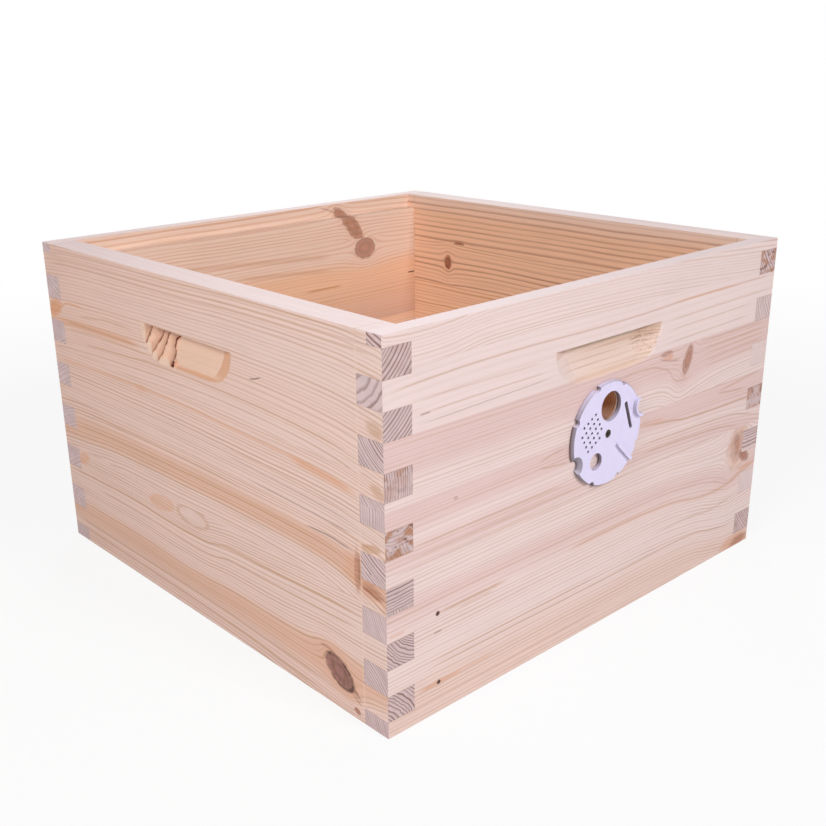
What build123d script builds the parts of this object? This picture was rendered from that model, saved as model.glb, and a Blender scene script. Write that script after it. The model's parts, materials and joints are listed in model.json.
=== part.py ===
from build123d import *
import os

# Deep hive box: four walls of edge-glued boards, box-jointed at the corners, with a frame rest
# along the top of the front and rear walls, a milled hand-hold in each wall, and a bored entrance
# behind a turning disc. Millimetres, +Z up, the front wall faces -Y.

# Box
box_width = 504.0
box_depth = 504.0
box_height = 316.0
wall = 27.0

# Corner finger joints, counted down from the top rim
top_part_finger = 9.3
finger_height = 22.5

# Glue lines between the boards of each wall, as depths below the top rim
front_glue_lines = (26.7, 76.8, 129.0, 182.7)
rear_glue_lines = (43.0, 95.0, 147.0, 199.0)
left_glue_lines = (105.0, 157.0, 209.0)
right_glue_lines = (53.0, 105.0, 157.0, 209.0)

# Frame rest: the step along the inner top edge of the front and rear walls
rest_depth = 11.5
rest_height = 15.5

# Hand-holds
hold_width = 142.0
hold_height = 32.5
hold_below_top = 48.5
hold_depth = 14.0
hold_end_height = 1.5
hold_cove_radius = 11.0

# Pivot of the entrance disc on the front wall
pivot_left_of_middle = 4.0
pivot_below_top = 131.8

# Entrance: bored in the wall and cut in the disc at the same place, seen from the pivot
entrance_diameter = 26.4
entrance_reach = 24.1
entrance_angle = 84.5

# Entrance disc: angles are counterclockwise from +X, seen from the front
disc_diameter = 92.0
disc_thickness = 4.0
disc_gap = 0.3
disc_rim_chamfer = 1.0
grip_angle = 20.5
grip_radius = 7.6
grip_lip_width = 2.0
grip_lip_height = 3.5
notch_count = 8
notch_radius = 3.2
scallop_radius = 9.3
scallop_back_radius = 4.5
scallop_turn = 184.5
slot_length = 28.0
slot_width = 3.8
slot_reach = 29.0
rib_inner_reach = 17.0
rib_outer_reach = 44.5
rib_width = 3.6
rib_height = 2.8
rib_turn = 296.0
small_hole_diameter = 15.5
small_hole_reach = 26.0
small_hole_turn = 215.0
vent_diameter = 2.6
vent_pitch = 5.6
vent_side_count = 5
vent_reach = 22.8
vent_turn = 144.5

# Pivot screw, countersunk into the disc
screw_diameter = 4.0
screw_length = 25.0
screw_tip_length = 4.0
screw_head_diameter = 7.4
screw_head_sink = 0.6
screw_head_rim = 0.3
recess_width = 1.0
recess_length = 4.4
recess_depth = 1.3
running_clearance = 0.08
countersink_clearance = 0.12

# Extra length by which a cutting solid passes the face that it cuts
cut_margin = 1.0

# The bounding box is centred on the origin, so the walls sit back by half of what the disc adds in front
disc_face = disc_gap + disc_thickness
disc_projection = disc_face + grip_lip_height
front_face_y = (disc_projection - box_depth) / 2
rear_face_y = front_face_y + box_depth

pivot_x = -pivot_left_of_middle
pivot_z = box_height - pivot_below_top

# Seen from the front: x to the right, y up, z out of the front wall, with the pivot at the origin
disc_plane = Plane(origin=(pivot_x, front_face_y, pivot_z), x_dir=(1, 0, 0), z_dir=(0, -1, 0))


def polar(reach, angle):
    """A place on the front wall, seen from the pivot."""
    return Pos(Vector(reach, 0).rotate(Axis.Z, angle))


def block(x_range, y_range, z_range):
    """A box between three pairs of limits."""
    size = [high - low for low, high in (x_range, y_range, z_range)]
    corner = [low for low, high in (x_range, y_range, z_range)]
    return Pos(*corner) * Box(*size, align=Align.MIN)


def side_finger_levels():
    """Heights of the fingers of the left and right walls, from the top down."""
    levels = []
    top = box_height - top_part_finger
    while top > 0:
        levels.append((max(top - finger_height, 0), top))
        top -= 2 * finger_height
    return levels


def hold_outline():
    """A flat-topped outline with round lower corners, hung from the middle of its top edge."""
    outline = Pos(0, -hold_height / 2) * Rectangle(hold_width, hold_height)
    lower_corners = outline.vertices().sort_by(Axis.Y)[:2]
    return fillet(lower_corners, hold_height - hold_end_height)


def hand_hold(length):
    """The scoop milled in the outer face of a wall whose outer face is the plane y = 0."""
    top_edge = (length / 2, -cut_margin, box_height - hold_below_top)
    mouth = Plane(origin=top_edge, x_dir=(1, 0, 0), z_dir=(0, -1, 0))
    scoop = extrude(mouth * hold_outline(), -(hold_depth + cut_margin))
    floor = scoop.faces().sort_by(Axis.Y)[-1]
    return fillet(floor.edges().sort_by(Axis.Z)[:-1], hold_cove_radius)


def end_wall():
    """The front wall before its entrance: its outer face is y = 0 and its left end is x = 0."""
    body = block((0, box_width), (0, wall), (0, box_height))
    rest = block((0, box_width), (wall - rest_depth, wall), (box_height - rest_height, box_height))
    body -= rest
    for low, high in side_finger_levels():
        body -= block((0, wall), (0, wall), (low, high))
        body -= block((box_width - wall, box_width), (0, wall), (low, high))
    return body - hand_hold(box_width)


def side_wall():
    """A plain side wall before its fingers: its outer face is y = 0 and its left end is x = 0."""
    body = block((0, box_depth), (0, wall), (0, box_height))
    return body - hand_hold(box_depth)


def pivot_screw():
    """The countersunk screw, on the disc's axis, with its cross recess."""
    head_top = disc_face - screw_head_sink
    shank_radius = screw_diameter / 2
    head_radius = screw_head_diameter / 2
    cone_top = head_top - screw_head_rim
    cone_bottom = cone_top - (head_radius - shank_radius)
    tip = head_top - screw_length
    outline = Polyline(
        (0, tip),
        (shank_radius, tip + screw_tip_length),
        (shank_radius, cone_bottom),
        (head_radius, cone_top),
        (head_radius, head_top),
        (0, head_top),
        close=True,
    )
    screw = revolve(Plane.XZ * make_face(outline), Axis.Z)
    for angle in (0, 90):
        arm = Box(recess_length, recess_width, recess_depth, align=(Align.CENTER, Align.CENTER, Align.MAX))
        screw -= Pos(0, 0, head_top) * Rot(0, 0, angle) * arm
    return screw


def pivot_hole():
    """What the screw needs through the disc: a running bore and a countersink above it."""
    bore_radius = screw_diameter / 2 + running_clearance
    sink_radius = screw_head_diameter / 2 + running_clearance
    sink_floor = disc_face - screw_head_sink - screw_head_rim - countersink_clearance
    outline = Polyline(
        (0, 0),
        (bore_radius, 0),
        (bore_radius, sink_floor - (sink_radius - bore_radius)),
        (sink_radius, sink_floor),
        (sink_radius, disc_face + cut_margin),
        (0, disc_face + cut_margin),
        close=True,
    )
    return revolve(Plane.XZ * make_face(outline), Axis.Z)


def entrance_outline():
    """The round way in, at the same place in the wall and in the disc."""
    return polar(entrance_reach, entrance_angle) * Circle(entrance_diameter / 2)


def through_disc(outline):
    """A cutting solid that carries an outline through the disc and its grip."""
    return extrude(outline, disc_projection + cut_margin)


def entrance_disc():
    """The turning disc, with its openings, rim notches, grip and closing rib."""
    rim = disc_diameter / 2
    disc = Pos(0, 0, disc_gap) * extrude(Circle(rim), disc_thickness)
    disc = chamfer(disc.edges().filter_by(GeomType.CIRCLE).sort_by(Axis.Z)[-1:], disc_rim_chamfer)

    # The grip is a half-round lip that stands up around a finger scallop in the rim
    lip = polar(rim, grip_angle) * Circle(grip_radius + grip_lip_width)
    lip &= Circle(rim - disc_rim_chamfer)
    disc += Pos(0, 0, disc_gap) * extrude(lip, disc_thickness + grip_lip_height)

    rib_angle = grip_angle + rib_turn
    rib_middle = polar((rib_inner_reach + rib_outer_reach) / 2, rib_angle)
    rib = rib_middle * Rot(0, 0, rib_angle) * SlotOverall(rib_outer_reach - rib_inner_reach, rib_width)
    disc += Pos(0, 0, disc_face) * extrude(rib, rib_height)

    openings = [polar(rim, grip_angle) * Circle(grip_radius)]
    for index in range(1, notch_count):
        if 2 * index != notch_count:
            openings.append(polar(rim, grip_angle + index * 360 / notch_count) * Circle(notch_radius))
    openings.append(entrance_outline())
    openings.append(polar(small_hole_reach, grip_angle + small_hole_turn) * Circle(small_hole_diameter / 2))
    slot = Rot(0, 0, grip_angle + 90) * SlotOverall(slot_length, slot_width)
    openings.append(polar(slot_reach, grip_angle) * slot)

    # The vents stand on a square grid with one diagonal on the radius, without the two corners on it
    vent_angle = grip_angle + vent_turn
    grid = polar(vent_reach, vent_angle) * Rot(0, 0, vent_angle - 45)
    last = vent_side_count - 1
    for row in range(vent_side_count):
        for column in range(vent_side_count):
            if (row, column) not in ((0, 0), (last, last)):
                place = Pos((row - last / 2) * vent_pitch, (column - last / 2) * vent_pitch)
                openings.append(grid * place * Circle(vent_diameter / 2))

    for outline in openings:
        disc -= through_disc(outline)

    # Opposite the grip the rim is scooped out on a slope, wide at the face and narrow at the back
    scoop = Cone(scallop_back_radius, scallop_radius, disc_thickness, align=(Align.CENTER, Align.CENTER, Align.MIN))
    disc -= polar(rim, grip_angle + scallop_turn) * Pos(0, 0, disc_gap) * scoop
    return disc - pivot_hole()


def boards(wall_body, name, glue_lines):
    """The wall cut along its glue lines, from the top board down."""
    cuts = [0, *glue_lines, box_height]
    limits = wall_body.bounding_box()
    pieces = {}
    for index in range(len(cuts) - 1):
        top = box_height - cuts[index]
        bottom = box_height - cuts[index + 1]
        slab = block((limits.min.X, limits.max.X), (limits.min.Y, limits.max.Y), (bottom, top))
        pieces[f"{name}_board_{index + 1}"] = wall_body & slab
    return pieces


# Each wall is made lying along X with its outer face at y = 0, then turned to its side of the box
half_width = box_width / 2
front_place = Pos(-half_width, front_face_y, 0)
rear_place = Pos(half_width, rear_face_y, 0) * Rot(0, 0, 180)
left_place = Pos(-half_width, rear_face_y, 0) * Rot(0, 0, -90)
right_place = Pos(half_width, front_face_y, 0) * Rot(0, 0, 90)

screw = disc_plane * pivot_screw()
disc = disc_plane * entrance_disc()
entrance_bore = disc_plane * extrude(entrance_outline(), wall + cut_margin, both=True)

front_wall = front_place * end_wall() - entrance_bore - screw
rear_wall = rear_place * end_wall()
left_wall = left_place * side_wall() - front_wall - rear_wall
right_wall = right_place * side_wall() - front_wall - rear_wall

pieces = boards(front_wall, "front", front_glue_lines)
pieces |= boards(rear_wall, "rear", rear_glue_lines)
pieces |= boards(left_wall, "left", left_glue_lines)
pieces |= boards(right_wall, "right", right_glue_lines)
pieces["entrance_disc"] = disc
pieces["pivot_screw"] = screw

os.makedirs("parts", exist_ok=True)
for node, piece in pieces.items():
    export_step(piece.solid(), f"parts/{node}.step")
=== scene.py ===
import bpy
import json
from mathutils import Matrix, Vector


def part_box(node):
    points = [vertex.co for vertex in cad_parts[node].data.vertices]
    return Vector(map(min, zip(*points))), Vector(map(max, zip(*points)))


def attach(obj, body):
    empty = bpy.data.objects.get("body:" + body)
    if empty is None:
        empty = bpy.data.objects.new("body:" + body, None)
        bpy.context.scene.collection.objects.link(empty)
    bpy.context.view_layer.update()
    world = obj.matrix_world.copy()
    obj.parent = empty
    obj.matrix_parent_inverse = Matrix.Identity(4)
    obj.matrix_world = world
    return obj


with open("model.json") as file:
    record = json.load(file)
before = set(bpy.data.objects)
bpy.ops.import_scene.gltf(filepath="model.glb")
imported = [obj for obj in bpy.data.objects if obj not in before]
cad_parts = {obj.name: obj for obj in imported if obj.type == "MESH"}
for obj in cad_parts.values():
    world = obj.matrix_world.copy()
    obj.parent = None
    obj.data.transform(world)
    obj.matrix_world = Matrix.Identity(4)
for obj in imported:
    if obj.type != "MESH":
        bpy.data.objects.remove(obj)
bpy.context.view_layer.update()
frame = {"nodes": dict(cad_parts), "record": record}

import json
import math
from dataclasses import dataclass

import bmesh
import bpy
from bpy.props import FloatProperty, FloatVectorProperty, PointerProperty
from mathutils import Matrix, Vector, noise

bl_info = {
    "name": "Hive box",
    "version": (1, 0, 0),
    "blender": (4, 5, 0),
    "location": "View3D > Sidebar > Hive box",
    "description": "Finishes the pine walls, the entrance disc and its screw, and sets the stage",
    "category": "Object",
}

# Places on the box, in millimetres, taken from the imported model
MM = 1000.0


def node_box(node):
    """The lowest and highest corner of a node, in millimetres."""
    return [[value * MM for value in corner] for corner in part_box(node)]


def opening_box(name):
    """The lowest and highest corner of a named opening, in millimetres."""
    for opening in frame["record"]["physics"]["openings"]:
        if opening["name"] == name:
            return [[value * MM for value in corner] for corner in opening["box_m"]]
    raise LookupError(f"the packed record has no opening named {name}")


def wall_nodes(wall):
    """The boards of a wall, from the top down."""
    return sorted(name for name in frame["nodes"] if name.startswith(wall + "_board_"))


FRONT_FACE = node_box("front_board_1")[0][1]
REAR_FACE = node_box("rear_board_1")[1][1]
LEFT_FACE = node_box("left_board_1")[0][0]
RIGHT_FACE = node_box("right_board_1")[1][0]
BOX_TOP = node_box("front_board_1")[1][2]
WALL_LENGTH = RIGHT_FACE - LEFT_FACE
WALL_MIDDLE = WALL_LENGTH / 2

# The bored entrance, and how far the face of its disc stands out of the front wall
ENTRANCE_LOW, ENTRANCE_HIGH = opening_box("entrance")
ENTRANCE_ALONG = (ENTRANCE_LOW[0] + ENTRANCE_HIGH[0]) / 2 - LEFT_FACE
ENTRANCE_HEIGHT = (ENTRANCE_LOW[2] + ENTRANCE_HIGH[2]) / 2
ENTRANCE_RADIUS = 13.2
DISC_FACE = 4.3

# Corner fingers, counted down from the top rim
WALL_THICKNESS = 27.0
TOP_PART_FINGER = 9.3
FINGER_HEIGHT = 22.5

# Hand-holds as packed: a flat-topped scoop with round lower corners and a cove round its floor
HOLD_TOP = BOX_TOP - 48.5
HOLD_HEIGHT = 32.5
HOLD_LOW = HOLD_TOP - HOLD_HEIGHT
HOLD_HALF_WIDTH = 71.0
HOLD_CORNER = 31.0
HOLD_DEPTH = 14.0
HOLD_COVE = 11.0


# Shader nodes


class Term:
    """A socket of a node tree. Arithmetic on terms adds Math nodes to that tree."""

    def __init__(self, tree, socket):
        self.tree = tree
        self.socket = socket

    def math(self, operation, *operands):
        return self.tree.node("ShaderNodeMath", {"operation": operation}, dict(enumerate(operands)))

    def __add__(self, other):
        return self.math("ADD", self, other)

    __radd__ = __add__

    def __sub__(self, other):
        return self.math("SUBTRACT", self, other)

    def __rsub__(self, other):
        return self.math("SUBTRACT", other, self)

    def __mul__(self, other):
        return self.math("MULTIPLY", self, other)

    __rmul__ = __mul__

    def __truediv__(self, other):
        return self.math("DIVIDE", self, other)

    def __rtruediv__(self, other):
        return self.math("DIVIDE", other, self)

    def __abs__(self):
        return self.math("ABSOLUTE", self)

    def root(self):
        return self.math("SQRT", self)

    def fraction(self):
        return self.math("FRACT", self)

    def floor(self):
        return self.math("FLOOR", self)

    def sine(self):
        return self.math("SINE", self)

    def below(self, limit):
        return self.math("LESS_THAN", self, limit)

    def at_least(self, other):
        return self.math("MAXIMUM", self, other)

    def at_most(self, other):
        return self.math("MINIMUM", self, other)

    def between(self, low, high):
        """A share from 0 to 1 as a number from low to high."""
        return self * (high - low) + low


class Tree:
    """The node tree of a material or of the world, and the nodes that the finishes share."""

    def __init__(self, owner):
        owner.use_nodes = True
        self.owner = owner
        self.nodes = owner.node_tree.nodes
        self.links = owner.node_tree.links
        self.nodes.clear()

    def node(self, kind, settings=None, sockets=None, output=0):
        """Adds a node: its settings first, then the values or links of its sockets."""
        node = self.nodes.new(kind)
        for key, value in (settings or {}).items():
            if key == "stops":
                self.set_stops(node.color_ramp.elements, value)
            elif key == "points":
                self.set_points(node.mapping, value)
            else:
                setattr(node, key, value)
        for key, value in (sockets or {}).items():
            if isinstance(value, Term):
                self.links.new(value.socket, node.inputs[key])
            else:
                node.inputs[key].default_value = value
        return Term(self, node.outputs[output]) if node.outputs else None

    @staticmethod
    def set_stops(elements, stops):
        """Colours of a ramp, each at its place from 0 to 1."""
        while len(elements) < len(stops):
            elements.new(0.5)
        for element, (position, colour) in zip(elements, stops):
            element.position = position
            element.color = (*colour, 1.0)

    @staticmethod
    def set_points(mapping, points):
        """A smooth curve through points in the unit square, from left to right."""
        curve = mapping.curves[0].points
        while len(curve) < len(points):
            curve.new(0.5, 0.5)
        for point, place in zip(curve, points):
            point.location = place
        mapping.update()

    def surface(self, sockets):
        """A Principled shader joined to the material's output."""
        shader = self.node("ShaderNodeBsdfPrincipled", None, sockets)
        self.node("ShaderNodeOutputMaterial", None, {"Surface": shader})

    def object_place(self):
        """Millimetres along X, Y and Z in the part's own frame."""
        place = self.node("ShaderNodeTexCoord", output="Object")
        return [self.node("ShaderNodeSeparateXYZ", None, {0: place}, axis) * MM for axis in range(3)]

    def normal(self, axis):
        """How far a surface faces along one axis, from -1 to 1."""
        normal = self.node("ShaderNodeTexCoord", output="Normal")
        return self.node("ShaderNodeSeparateXYZ", None, {0: normal}, axis)

    def point(self, x, y, z):
        return self.node("ShaderNodeCombineXYZ", None, {0: x, 1: y, 2: z})

    def noise(self, point, detail=1.0, roughness=0.5):
        """Noise about 0, from -0.5 to 0.5."""
        sockets = {"Vector": point, "Scale": 1.0, "Detail": detail, "Roughness": roughness}
        return self.node("ShaderNodeTexNoise", None, sockets) - 0.5

    def line_noise(self, value):
        """Smooth noise along one number, from -0.5 to 0.5."""
        sockets = {"W": value, "Scale": 1.0, "Detail": 0.0}
        return self.node("ShaderNodeTexNoise", {"noise_dimensions": "1D"}, sockets) - 0.5

    def chance(self, value):
        """A number from 0 to 1 that jumps with every change of the value."""
        return self.node("ShaderNodeTexWhiteNoise", {"noise_dimensions": "1D"}, {"W": value})

    def rise(self, value, low, high):
        """A smooth step from 0 at low to 1 at high."""
        sockets = {"Value": value, "From Min": low, "From Max": high}
        return self.node("ShaderNodeMapRange", {"interpolation_type": "SMOOTHSTEP"}, sockets)

    def fall(self, value, low, high):
        """A smooth step from 1 at low to 0 at high."""
        return 1 - self.rise(value, low, high)

    def hump(self, value, low, high, edge):
        """A smooth hump: 1 between low and high, and 0 beyond an edge on either side."""
        return self.rise(value, low - edge, low) * self.fall(value, high, high + edge)

    def blend(self, first, second, share):
        """One colour laid over another."""
        settings = {"data_type": "RGBA", "clamp_factor": True}
        return self.node("ShaderNodeMix", settings, {0: share, 6: opaque(first), 7: opaque(second)}, 2)

    def shaded(self, colour, amount):
        """A colour made lighter or darker by a number."""
        return self.node("ShaderNodeVectorMath", {"operation": "SCALE"}, {0: colour, "Scale": amount})

    def bump(self, height, strength, distance):
        """A normal bent by a height in the same tree, with its depth in metres."""
        sockets = {"Strength": strength, "Distance": distance, "Height": height}
        return self.node("ShaderNodeBump", None, sockets)


def opaque(colour):
    """A colour for a Mix socket: links stay as they are, and numbers get a full alpha."""
    return colour if isinstance(colour, Term) else (*colour, 1.0)


def srgb(red, green, blue):
    """A colour as a picture shows it, in 0 to 255, as linear values."""
    shares = (level / 255.0 for level in (red, green, blue))
    return tuple(share / 12.92 if share <= 0.04045 else ((share + 0.055) / 1.055) ** 2.4 for share in shares)


# What a user would change


def colour_property(name, description, *levels):
    """A colour whose default is written as a picture shows it."""
    return FloatVectorProperty(
        name=name, description=description, default=srgb(*levels), subtype="COLOR", size=3, min=0.0, max=1.0
    )


def share_property(name, description, default, most=1.0):
    """A share of something, from nothing to its most."""
    return FloatProperty(
        name=name, description=description, default=default, subtype="FACTOR", min=0.0, max=most
    )


def power_property(name, description, default):
    """The power of a lamp."""
    return FloatProperty(name=name, description=description, default=default, unit="POWER", min=0.0)


class HivePineSettings(bpy.types.PropertyGroup):
    """Colours of the pine boards and the strength of their figure."""

    pale: colour_property("Pale wood", "Sapwood of the palest boards", 238, 216, 213)
    cream: colour_property("Cream wood", "Sapwood of the warmer boards", 233, 206, 197)
    pink: colour_property("Pink wood", "Rosy bands between sapwood and heartwood", 229, 199, 196)
    rose: colour_property("Rose wood", "Deeper rosy bands of the side wall", 233, 204, 194)
    orange: colour_property("Orange wood", "Resinous bands of heartwood", 224, 182, 162)
    # Amber and honey are partly the wood's own warm tone and partly painted light, bright and warm for light
    # bounced inside the box
    amber: colour_property("Amber wood", "Boards that were cut from heartwood", 250, 204, 171)
    honey: colour_property("Honey wood", "Warm sapwood of the rear wall", 248, 219, 201)
    # The rim colour is planed wood, painted paler and cooler as painted light from above
    rim: colour_property("Rim", "Planed top edges of the walls", 240, 222, 224)
    late: colour_property("Late wood", "Dark side of each growth ring", 192, 144, 108)
    brown: colour_property("Brown lines", "The darkest lines of late wood", 138, 92, 70)
    resin: colour_property("Resin", "Pitch streaks and halos around knots", 216, 152, 110)
    knot: colour_property("Knot", "Middle of a red knot", 160, 98, 74)
    dark_knot: colour_property("Dark knot", "Bark rings and cracks", 84, 52, 46)
    crack: colour_property("Crack", "Deep splits in torn wood", 112, 52, 30)
    dead_knot: colour_property("Dead knot", "Middle of a dead knot", 136, 92, 84)
    end: colour_property("End grain", "Ends of the fingers between the growth rings", 212, 188, 188)
    end_ring: colour_property("End rings", "Growth rings on the ends of the fingers", 134, 98, 89)
    end_warm: colour_property("Warm end grain", "Ends of the fingers next to knots", 186, 134, 104)
    milled: colour_property("Milled wood", "Fresh floor of the front hand-hold", 236, 208, 188)
    milled_warm: colour_property("Warm milled wood", "Fresh floor of the side hand-holds", 234, 198, 174)
    # Painted light: a bright colour that lifts the shade deep under the front hand-hold's edge
    strip: colour_property("Fresh strip", "Clean cut under the edge of the front hand-hold", 255, 240, 224)
    flake: colour_property("Torn wood", "Flakes that the cutter tore up", 248, 208, 184)
    # Bored wood is painted shade, a dark orange for the shadowed inside of the entrance, and is also laid as
    # a grain colour on the rear and right walls
    bore: colour_property("Bored wood", "Inside of the entrance", 204, 142, 90)
    contrast: share_property("Ring contrast", "Strength of the growth rings", 1.0, 2.0)


class HiveDiscSettings(bpy.types.PropertyGroup):
    """Colours of the entrance disc and its screw."""

    plastic: colour_property("Plastic", "Moulded white plastic of the disc", 230, 222, 252)
    grime: colour_property("Grime", "What has settled in the plastic's pores", 190, 176, 178)
    # Disc edge: painted shade on the sides of the disc and its holes, darkest at the back and palest where
    # they face up
    edge: colour_property("Disc edge", "Rim and holes of the disc", 98, 86, 84)
    # Steel: the screw's own colour, darkened as painted shade of its sunk head
    steel: colour_property("Steel", "Pivot screw", 96, 86, 76)
    rust: colour_property("Rust", "Dull patches on the pivot screw", 62, 48, 38)
    plastic_roughness: share_property("Plastic roughness", "Roughness of the disc", 0.45)


class HiveStageSettings(bpy.types.PropertyGroup):
    """Camera, floor and lamps."""

    camera_place: FloatVectorProperty(
        name="Camera",
        description="Where the camera stands",
        default=(-0.7067, -0.7669, 0.5002),
        subtype="TRANSLATION",
        unit="LENGTH",
    )
    lens: FloatProperty(name="Lens", description="Focal length", default=47.084, unit="CAMERA")
    key_power: power_property("Key power", "Power of the lamp in front", 28.5)
    side_power: power_property("Side power", "Power of the lamp on the left", 23.2)
    top_power: power_property("Top power", "Power of the lamp above", 2.8)
    back_power: power_property("Back power", "Power of the lamp behind on the right", 14.0)
    surround: share_property("Surround", "Strength of the even light all round", 0.22)
    floor: colour_property("Floor", "Colour of the floor", 238, 238, 238)
    floor_white: share_property("Floor white", "Share of the floor's shading that stays unseen", 0.86)


# Figure of each board. Places along the front and rear walls are millimetres from their left end, and those
# along the left and right walls from their rear end. Heights are millimetres above the bottom rim.


@dataclass
class Spot:
    """A knot or a stain: its middle, half sizes, lean in degrees, colour, strength and softness.

    A knot also parts the grain round it, and has a halo of resin and a ring of bark.
    """

    along: float
    height: float
    half_length: float
    half_height: float
    lean: float = 0.0
    colour: str = "knot"
    strength: float = 0.9
    soft: float = 0.3
    parting: float = 1.0
    halo: float = 0.6
    bark: float = 0.55


@dataclass
class Streak:
    """A line of late wood or resin: the places that it runs through, half width, strength and colour."""

    route: tuple
    half_width: float
    strength: float = 0.4
    colour: str = "late"


@dataclass
class End:
    """Growth rings on a finger's end: its lower edge, the pith's height and depth, ring width and tones."""

    bottom: float
    pith: tuple
    ring: float
    dark: float = 0.8
    warm: float = 0.0
    plain: float = 0.0


@dataclass
class Milled:
    """Fresh wood in a hand-hold: its colour, and the shares of it, its lines, its ramps and its painted
    shadow strip.
    """

    colour: str = "milled"
    share: float = 0.5
    lines: float = 0.2
    ramp: float = 0.2
    strip: float = 0.0


@dataclass
class Figure:
    """How one board was cut from its log.

    The pith has a height and a depth. Tones are stops from the board's lower edge to its upper one. The flow
    is how far the grain rises along each edge, and the fade is orange wood towards the wall's rear end.
    """

    pith: tuple
    ring: float
    lines: float
    tones: tuple
    sway: float = 2.0
    upper_flow: tuple = ()
    lower_flow: tuple = ()
    fade: float = 0.0
    knots: tuple = ()
    stains: tuple = ()
    streaks: tuple = ()
    ends: tuple = ()
    milled: Milled = None
    bored: bool = False
    line_colour: str = "late"


def even(colour):
    """The tones of a board that has one colour."""
    return (0.0, colour), (1.0, colour)


def pin_knot(along, height):
    """A small dark knot."""
    return Spot(along, height, 1.9, 1.8, 0, "dark_knot", 1.0, 0.25, 0.8, 0.4)


# What two boards of a wall share across their glue line
FRONT_MILLED = Milled("milled", 0.6, 0.5, 0.0, 0.9)
FRONT_FOOT_STAIN = Spot(248, 238.5, 42, 2.6, 0, "resin", 0.35, 0.9)
RIGHT_MILLED = Milled("milled_warm", 0.6, 0.2, 0.5)

# A wave in the grain that carries a broad faint streak and a thin dark one
FRONT_WAVE = ((200, 87), (252, 89), (340, 86.5), (410, 77), (435, 75.5), (475, 83), (504, 86))

# Painted light and shade along a wall: how much lighter, or darker below 0, a wall is painted from its start
# to its end
WALL_PAINTED_LIGHT = {"front": -0.1, "left": 0.05}

FIGURES = {}

FIGURES["front_board_1"] = Figure(
    pith=(420, -60), ring=2.7, lines=0.42,
    tones=even("pale"),
    upper_flow=((0, -2), (30, -5), (60, -4), (120, 2), (252, 2), (350, -2), (470, -10), (504, -12)),
    ends=(End(0, (371, -20), 3.3, 1.2, 0.15),),
)

FIGURES["front_board_2"] = Figure(
    pith=(420, 60), ring=6.0, lines=0.16,
    tones=even("pale"),
    upper_flow=((0, -4), (50, 0), (130, 2), (252, 1), (300, 2), (400, 4), (504, 4)),
    streaks=(
        Streak(
            ((0, 272), (12, 274), (50, 277), (130, 279), (252, 278), (350, 280), (400, 281), (504, 281)),
            half_width=0.8,
        ),
        Streak(((330, 279.7), (400, 281), (450, 280.6)), 1.2, 0.4, "resin"),
        Streak(((28, 261), (60, 263), (175, 262.5)), 0.9, 0.25),
        Streak(((325, 265), (400, 266.5), (504, 268)), 0.9, 0.25),
        Streak(((28, 251.5), (100, 253.5), (180, 254)), 0.7, 0.35),
        Streak(((325, 256.5), (420, 258), (475, 259)), 0.7, 0.35),
        Streak(((28, 244.5), (75, 245.5), (110, 246.5), (185, 248)), 0.6, 0.35, "brown"),
        Streak(((325, 245), (400, 246.5), (475, 248)), 0.7, 0.35),
        Streak(((34, 251.7), (46, 251.9)), 0.8, 0.5, "brown"),
    ),
    stains=(FRONT_FOOT_STAIN,),
    ends=(End(0, (300, 40), 8.0, 0.7),),
    milled=FRONT_MILLED,
)

FIGURES["front_board_3"] = Figure(
    pith=(420, 0), ring=3.0, lines=0.36,
    tones=((0.3, "pale"), (0.55, "pink")),
    upper_flow=((0, 0), (252, 0), (330, 2), (380, 0), (504, 2)),
    lower_flow=((0, 0), (252, 0), (300, 2), (340, -3), (365, -8), (390, -6), (440, 0), (504, 2)),
    knots=(Spot(366.5, 224, 5.5, 12.5, -18, "knot", 0.65, 0.5, 0.9, 0.3, 0.4),),
    stains=(
        Spot(333, 236, 9, 2.5, 0, "knot", 0.7, 0.7),
        Spot(336, 232, 7, 2.5, 0, "resin", 0.6, 0.7),
        FRONT_FOOT_STAIN,
    ),
    streaks=(
        Streak(((320, 235), (336, 229), (356, 226)), 1.0, 0.4, "knot"),
        Streak(((255, 225), (300, 228), (325, 224), (340, 218), (360, 206), (385, 208)), 0.9),
        Streak(((378, 236.3), (430, 236.6), (504, 237)), 0.9),
        Streak(((380, 229), (430, 229.5), (504, 231)), 1.0, 0.45),
        Streak(((384, 223.5), (440, 224.5), (504, 226)), 0.8),
        Streak(((386, 217), (440, 218.5), (504, 220)), 0.9),
        Streak(((388, 211), (440, 212.5), (504, 214)), 0.8),
    ),
    ends=(End(205, (270, -25), 2.7, 0.85), End(0, (250, -40), 2.6, 0.7)),
    milled=FRONT_MILLED,
    bored=True,
)

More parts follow.
